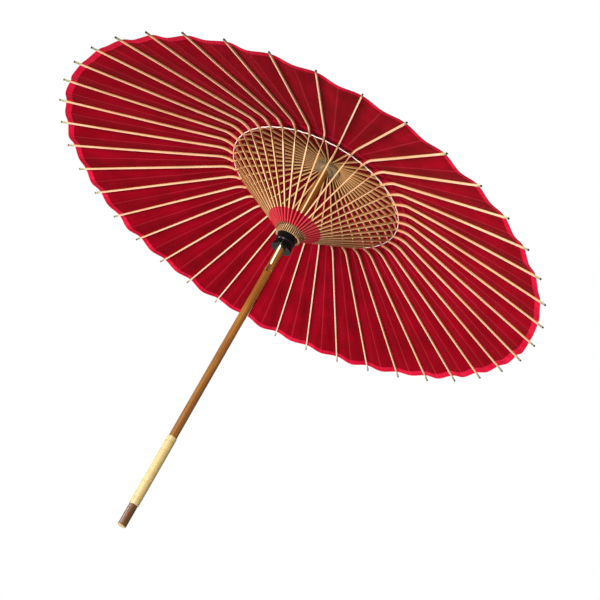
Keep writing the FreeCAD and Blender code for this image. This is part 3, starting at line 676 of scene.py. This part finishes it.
def thin_sheet(columns, rows, under, thickness):
    """Points and faces of a closed thin sheet; under(column, row) is its lower face."""
    width = len(columns)
    lower = [under(u, v) for v in rows for u in columns]
    points = lower + [p + Vector((0, 0, thickness)) for p in lower]
    top = len(lower)
    faces = []
    for j in range(len(rows) - 1):
        for i in range(width - 1):
            a = j * width + i
            quad = (a, a + 1, a + width + 1, a + width)
            faces.append(quad)
            faces.append(tuple(top + n for n in reversed(quad)))
    rim = [(i, i + 1) for i in range(width - 1)]
    rim += [(len(lower) - width + i, len(lower) - width + i + 1) for i in range(width - 1)]
    rim += [(j * width, (j + 1) * width) for j in range(len(rows) - 1)]
    rim += [((j + 1) * width - 1, (j + 2) * width - 1) for j in range(len(rows) - 1)]
    faces += [(a, b, top + b, top + a) for a, b in rim]
    return points, faces


def tube(line, radii, sides):
    """Points and faces of a round tube with closed ends, with a radius at each point."""
    points, faces = [], []
    for n, here in enumerate(line):
        ahead = line[min(n + 1, len(line) - 1)] - line[max(n - 1, 0)]
        side = ahead.cross(Vector((0, 0, 1))).normalized()
        up = side.cross(ahead).normalized()
        for k in range(sides):
            turn = math.tau * k / sides
            points.append(here + radii[n] * (math.cos(turn) * side + math.sin(turn) * up))
    for n in range(len(line) - 1):
        for k in range(sides):
            a, b = n * sides + k, n * sides + (k + 1) % sides
            faces.append((a, b, b + sides, a + sides))
    faces.append(tuple(range(sides)))
    faces.append(tuple(range(len(points) - sides, len(points))))
    return points, faces


def turned(outline, sides, bend):
    """Points and faces of a closed outline (radius, height) turned about the shaft's axis.
    bend(radius, height, angle) moves each point."""
    points = [
        bend(radius, height, math.tau * k / sides)
        for radius, height in outline
        for k in range(sides)
    ]
    faces = []
    for n in range(len(outline)):
        after = (n + 1) % len(outline)
        for k in range(sides):
            step = (k + 1) % sides
            faces.append(
                (n * sides + k, n * sides + step, after * sides + step, after * sides + k)
            )
    return points, faces


def flat_area(points, faces):
    """Half of a closed thin sheet's surface, in square metres."""
    total = 0
    for face in faces:
        a = points[face[0]]
        for b, c in zip(face[1:], face[2:]):
            total += (points[b] - a).cross(points[c] - a).length / 2
    return total / 2


# --- paper --------------------------------------------------------------------------------

SAG = [CHANCE.uniform(4.5, 8.0) * MM for _ in range(RIBS)]  # of each gore's fold at the rim
BULGE = [CHANCE.uniform(-0.6, 2.2) * MM for _ in range(RIBS)]  # of each gore's cut edge
LEAN = [CHANCE.uniform(-0.35, 0.35) for _ in range(RIBS)]  # of the bulge to one side
SOFT_SHARE = 0.9  # of the sag that is a smooth hollow; the rest makes the worn fold
SAG_GROWTH = 1.4  # power of the radius that the sag follows
FOLD_GROWTH = 1.2  # power of the share that the worn fold follows
RIPPLE = 1.2 * MM  # of the paper between two ribs, at the rim
RIPPLES = 16  # noise scale of it along the radius, per metre
GORE_APART = 3.7  # in the noise, so that gores ripple on their own
BULGE_START = 0.9  # share of the canopy's radius where the cut edge's bulge starts
PAPER = 0.3 * MM
BAND_PAPER = 0.15 * MM


def gore(number, share):
    """The gore that a strip's point belongs to, and its place in it: 0 and 1 at the ribs."""
    if share >= 0:
        return (number - 1) % RIBS, share / 2
    return (number - 2) % RIBS, 1 + share / 2


def on_cone(cone, number, share, radius):
    """A point of the paper: share runs from -1 to 1, from fold to fold past the rib."""
    index, place = gore(number, share)
    angle = azimuth(number) + share * HALF_STEP
    reach = radius / CANOPY.outer
    middle = math.sin(math.pi * place)
    hollow = SOFT_SHARE * middle ** 2 + (1 - SOFT_SHARE) * abs(share) ** FOLD_GROWTH
    drop = SAG[index] * reach ** SAG_GROWTH * hollow
    ripple = noise.noise(Vector((radius * RIPPLES, index * GORE_APART + place, 0.5)))
    drop += RIPPLE * ripple * reach * middle ** 2
    edge = max(0, (reach - BULGE_START) / (1 - BULGE_START)) ** 2
    wave = middle * (1 + LEAN[index] * math.cos(math.pi * place) * 2)
    radius += BULGE[index] * wave * edge
    return direction(angle) * radius + Vector((0, 0, cone.height(radius) - drop))


def paper_strip(name, number, cone, columns, rows, slot, thickness):
    """One strip of paper, centred on a rib and carried by it."""
    points, faces = thin_sheet(
        spaced(-1, 1, columns),
        spaced(cone.inner, cone.outer, rows),
        lambda share, radius: on_cone(cone, number, share, radius),
        thickness,
    )
    piece = new_piece(name, points, faces, slot, f"rib_{number:02d}")
    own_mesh(piece)
    None if cone is not CANOPY else flat_area(points, faces)
    return piece


def make_paper():
    """The canopy, with the bands under its edge and outside the joint ring, rib by rib."""
    for number in range(1, RIBS + 1):
        canopy = paper_strip(
            f"canopy_{number:02d}", number, CANOPY, 15, 46, "canopy_paper", PAPER
        )
        edge = paper_strip(
            f"edge_band_{number:02d}", number, EDGE_BAND, 15, 6, "band_paper", BAND_PAPER
        )
        middle = paper_strip(
            f"middle_band_{number:02d}", number, MIDDLE_BAND, 9, 5, "band_paper", BAND_PAPER
        )
        if number == 1:
            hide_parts("canopy")
            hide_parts("edge_band")
            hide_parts("middle_band")


COLLAR_PLEAT = 5 * MM  # how far the collar folds in between two struts
PLEAT_START = 0.2  # share of the way from a strut to the fold where the pleat starts
COLLAR_PAPER = 0.2 * MM
RAGGED = 0.3 * MM  # unevenness of the collar


def make_collar():
    """The collar of red paper, pasted on the struts and folded in between them."""
    rows = spaced(COLLAR.inner, COLLAR.outer, 8)
    columns = spaced(-1, 1, 9)
    for number in range(1, RIBS + 1):
        angle = azimuth(number)

        def under(share, radius):
            pleat = max(0, abs(share) - PLEAT_START) / (1 - PLEAT_START)
            height = COLLAR.height(radius) + COLLAR_PLEAT * pleat * radius / COLLAR.outer
            height += noise.noise(Vector((number * 2.3 + share, radius * 40, 0))) * RAGGED
            return direction(angle + share * HALF_STEP) * radius + Vector((0, 0, height))

        points, faces = thin_sheet(columns, rows, under, COLLAR_PAPER)
        piece = new_piece(f"strut_collar_{number:02d}", points, faces, "collar_paper", "runner")
        fold_to_shaft(piece)
        flat_area(points, faces)
        if number == 1:
            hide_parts("strut_collar")


# --- threads ------------------------------------------------------------------------------

STRAND = 0.58 * MM  # radius of each of the thread's two strands
IN_HOLE = 0.24 * MM  # the same where it is drawn through the rib and the strut
STRAND_OFFSET = 0.7  # of a strand's radius, from the middle of the pair
THREAD_HOLE = 1.3 * MM  # half the hole's length
SLACK = 0.6 * MM  # of the thread halfway between two ribs
SLACK_GROWTH = 1.5  # power of the share that the slack follows
TWISTS = 4  # of the two strands between one rib and the next
TWIST_POINTS = 12
STRAND_SIDES = 6


def make_joint_thread():
    """The twisted thread round the joint ring, one length through each rib's joint."""
    steps = TWISTS * TWIST_POINTS
    for number in range(1, RIBS + 1):
        points, faces = [], []
        for strand in (0, math.pi):
            line, radii = [], []
            for n in range(steps + 1):
                share = 2 * n / steps - 1
                angle = azimuth(number) + share * HALF_STEP
                slack = SLACK * abs(share) ** SLACK_GROWTH
                past_hole = (abs(share) * HALF_STEP * MIDDLE_RADIUS - THREAD_HOLE) / THREAD_HOLE
                radius = IN_HOLE + (STRAND - IN_HOLE) * min(1, max(0, past_hole))
                turn = strand + math.tau * TWISTS * n / steps
                out = MIDDLE_RADIUS - slack + STRAND_OFFSET * radius * math.cos(turn)
                height = MIDDLE_HEIGHT - slack + STRAND_OFFSET * radius * math.sin(turn)
                line.append(direction(angle) * out + Vector((0, 0, height)))
                radii.append(radius)
            more_points, more_faces = tube(line, radii, STRAND_SIDES)
            faces += [tuple(n + len(points) for n in face) for face in more_faces]
            points += more_points
        name = f"joint_thread_{number:02d}"
        piece = new_piece(name, points, faces, "thread", f"rib_{number:02d}", THREAD_SHARP)
        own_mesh(piece)
        if number == 1:
            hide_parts("joint_thread")


# --- struts between the four that have joints of their own ----------------------------------


def fold_to_shaft(piece):
    """Gives a piece on the runner its own copy of its mesh."""
    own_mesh(piece)


def make_struts_between():
    """The struts that share a CAD node, each a piece of its own here."""
    pattern = NODES["strut_01"].data
    first = True
    for number in range(1, RIBS + 1):
        if f"strut_{number:02d}" in NODES:
            continue
        mesh = pattern.copy()
        mesh.transform(Matrix.Rotation((number - 1) * STEP, 4, "Z"))
        mesh.materials.clear()
        mesh.materials.append(FINISHES["strut_bamboo"])
        piece = bpy.data.objects.new(f"strut_{number:02d}", mesh)
        bpy.context.scene.collection.objects.link(piece)
        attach(piece, "runner")
        fold_to_shaft(piece)
        if first:
            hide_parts("struts_between")
            first = False


# --- grip and cap -------------------------------------------------------------------------

CANE_PITCH = 2.7 * MM
CANE_ROWS = 6  # rows of points across each turn of cane
GRIP_SIDES = 48
GRIP_GAP = 0.02 * MM  # between the shaft and the winding
NEW_GROOVE = 0.5 * MM  # between two turns near the grip's ends
WORN_GROOVE = 0.22 * MM  # between the other turns
NEW_TURNS = 5  # turns at each end that the hand doesn't wear
END_EASE = 0.4  # of a turn, over which the first and last turns round off
END_DROP = 0.4 * MM  # of that rounding


def make_grip():
    """Split cane wound round the shaft, its turns proud at the ends and smoothed between."""
    low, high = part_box("grip_wrap")
    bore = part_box("shaft")[1].x + GRIP_GAP
    turns = round((high.z - low.z) / CANE_PITCH)
    pitch = (high.z - low.z) / turns
    heights = spaced(low.z, high.z, turns * CANE_ROWS + 1)

    def bend(radius, height, angle):
        if radius < bore + GRIP_GAP:
            return direction(angle) * radius + Vector((0, 0, height))
        place = ((height - low.z) / pitch + angle / math.tau) % 1
        end = min(height - low.z, high.z - height)
        groove = NEW_GROOVE if end < NEW_TURNS * pitch else WORN_GROOVE
        ease = min(1, end / (END_EASE * pitch))
        depth = groove * (2 * place - 1) ** 4 + (1 - ease) ** 2 * END_DROP
        return direction(angle) * (radius - depth) + Vector((0, 0, height))

    outline = [(bore, high.z), (bore, low.z)]
    outline += [(high.x, height) for height in heights]
    points, faces = turned(outline, GRIP_SIDES, bend)
    piece = new_piece("grip_winding", points, faces, "rattan", "root", CANE_SHARP)
    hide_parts("grip_wrap")


CAP_WAIST = 0.282  # share of the cap's radius where the tie pulls it in
# The cap's outline: share of its radius, and depth below its top in millimetres.
CAP_OUTLINE = (
    (0.0, 0.0), (0.15, 0.1), (0.25, 0.7), (0.31, 2.6), (0.33, 6.0), (0.33, 13.0), (0.31, 17.5),
    (CAP_WAIST, 20.4), (CAP_WAIST, 21.8), (0.33, 23.0), (0.45, 24.6), (0.58, 26.4), (0.72, 30.4),
    (0.86, 34.4), (1.0, 38.4),
)
CAP_PAPER = 0.5 * MM
CAP_SIDES = 160
CAP_PLEATS = 20
PLEAT_LIFT = 1.6 * MM  # of the pleats' ridges over their valleys at the cap's edge
GATHER = 0.25 * MM  # of the paper round the waist
GATHER_START = 10 * MM  # from the axis
SKIRT_TOP = 21 * MM  # below the cap's top, where pleats start
TIE_RADIUS = 0.7 * MM
TIE_PROUD = 0.5 * MM  # from the waist to the middle of the cord
TIE_LOW = 21.9 * MM  # below the cap's top
TIE_RISE = 1.5 * MM
TIE_TURNS = 2
TIE_POINTS = 48  # for each turn
TIE_SIDES = 8


def make_cap():
    """The paper cap over the hub, gathered under its tie, and the cord that ties it."""
    low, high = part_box("cap")
    outer = [(share * high.x, high.z - depth * MM) for share, depth in CAP_OUTLINE]
    inner = [(max(0, radius - CAP_PAPER), height - CAP_PAPER) for radius, height in outer]

    def bend(radius, height, angle):
        skirt = high.z - SKIRT_TOP
        below = min(1, max(0, (skirt - height) / (skirt - low.z)))
        crease = abs(math.sin(angle * CAP_PLEATS / 2)) ** 0.7
        lift = PLEAT_LIFT * (crease - 0.5) * below
        gather = GATHER * math.cos(angle * CAP_PLEATS) if radius > GATHER_START else 0
        return direction(angle) * (radius + gather * (1 - below)) + Vector((0, 0, height + lift))

    points, faces = turned(outer + inner[::-1], CAP_SIDES, bend)
    cap = new_piece("cap_paper", points, faces, "cap_paper", "root")
    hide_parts("cap")
    flat_area(points, faces)
    make_tie(CAP_WAIST * high.x + TIE_PROUD, high.z - TIE_LOW)


def make_tie(reach, low):
    """The cord wound round the cap's waist."""
    steps = TIE_TURNS * TIE_POINTS
    line = [
        direction(math.tau * n / TIE_POINTS) * reach + Vector((0, 0, low + TIE_RISE * n / steps))
        for n in range(steps + 1)
    ]
    points, faces = tube(line, [TIE_RADIUS] * len(line), TIE_SIDES)
    new_piece("cap_tie", points, faces, "thread", "root", THREAD_SHARP)


# --- everything together --------------------------------------------------------------------


def finish_cad_nodes():
    """Each CAD node that is carried over gets its slot's finish."""
    slots = {row["node"]: row["material_slot"] for row in frame["record"]["subparts"]}
    for node, piece in NODES.items():
        piece.data.materials.clear()
        piece.data.materials.append(FINISHES[slots[node]])


finish_cad_nodes()
make_paper()
make_collar()
make_joint_thread()
make_struts_between()
make_grip()
make_cap()

# --- studio ---------------------------------------------------------------------------------

CAMERA_PLACE = Vector((0.8271, -1.8975, -0.3795))
CAMERA_AIM = Vector((0.0781, 0.0304, 0.5588))
CAMERA_ROLL = math.radians(28.95)
CAMERA_LENS = 68.41
CAMERA_SENSOR = 36
CAMERA_REACH = 60
FLOOR_HEIGHT = -1.2
FLOOR_RADIUS = 30
FLOOR_SIDES = 96
FLOOR_GLOW = 0.35
SURROUND = 0.2
LIT_PLACE = Vector((0, 0, 0.6))  # that the soft lights look at


def make_camera():
    """The camera at the viewing angle of a person who looks up under the open canopy."""
    data = bpy.data.cameras.new("camera")
    data.sensor_width = CAMERA_SENSOR
    data.lens = CAMERA_LENS
    data.clip_end = CAMERA_REACH
    camera = bpy.data.objects.new("camera", data)
    bpy.context.scene.collection.objects.link(camera)
    camera.location = CAMERA_PLACE
    camera.rotation_mode = "QUATERNION"
    aim = (CAMERA_AIM - CAMERA_PLACE).normalized()
    camera.rotation_quaternion = aim.to_track_quat("-Z", "Y") @ Quaternion((0, 0, 1), CAMERA_ROLL)
    bpy.context.scene.camera = camera


def softbox(name, place, size, watts):
    """A square area light that looks at the umbrella."""
    data = bpy.data.lights.new(name, "AREA")
    data.shape = "SQUARE"
    data.size = size
    data.energy = watts
    light = bpy.data.objects.new(name, data)
    bpy.context.scene.collection.objects.link(light)
    light.location = place
    light.rotation_mode = "QUATERNION"
    light.rotation_quaternion = (LIT_PLACE - light.location).to_track_quat("-Z", "Y")


def white_for_camera(tree):
    """The surround lights softly, and is plain white where the camera sees it."""
    lamp = tree.nodes["Background"]
    seen = tree.nodes.new("ShaderNodeBackground")
    seen.inputs["Color"].default_value = (1, 1, 1, 1)
    path = tree.nodes.new("ShaderNodeLightPath")
    both = tree.nodes.new("ShaderNodeMixShader")
    tree.links.new(path.outputs["Is Camera Ray"], both.inputs[0])
    tree.links.new(lamp.outputs[0], both.inputs[1])
    tree.links.new(seen.outputs[0], both.inputs[2])
    tree.links.new(both.outputs[0], tree.nodes["World Output"].inputs["Surface"])


def make_studio():
    """A pale floor, a white surround and soft lights."""
    bpy.ops.mesh.primitive_circle_add(
        vertices=FLOOR_SIDES,
        radius=FLOOR_RADIUS,
        fill_type="NGON",
        location=(0, 0, FLOOR_HEIGHT),
    )
    floor = bpy.context.object
    floor.name = "floor"
    plain = bpy.data.materials.new("floor")
    plain.use_nodes = True
    shader = plain.node_tree.nodes["Principled BSDF"]
    shader.inputs["Base Color"].default_value = (0.86, 0.86, 0.86, 1)
    shader.inputs["Roughness"].default_value = 0.8
    shader.inputs["Emission Color"].default_value = (1, 1, 1, 1)
    shader.inputs["Emission Strength"].default_value = FLOOR_GLOW
    floor.data.materials.append(plain)
    world = bpy.data.worlds.new("studio")
    world.use_nodes = True
    world.node_tree.nodes["Background"].inputs["Color"].default_value = (1, 1, 1, 1)
    world.node_tree.nodes["Background"].inputs["Strength"].default_value = SURROUND
    white_for_camera(world.node_tree)
    bpy.context.scene.world = world
    bpy.context.scene.view_settings.view_transform = "Standard"
    softbox("key", Vector((-0.6, -2.6, -0.3)), size=1.0, watts=95)
    softbox("left", Vector((-1.9, -0.9, 0.2)), size=0.7, watts=22)
    softbox("top", Vector((0.6, 0.8, 3.4)), size=2.5, watts=90)


make_camera()
make_studio()
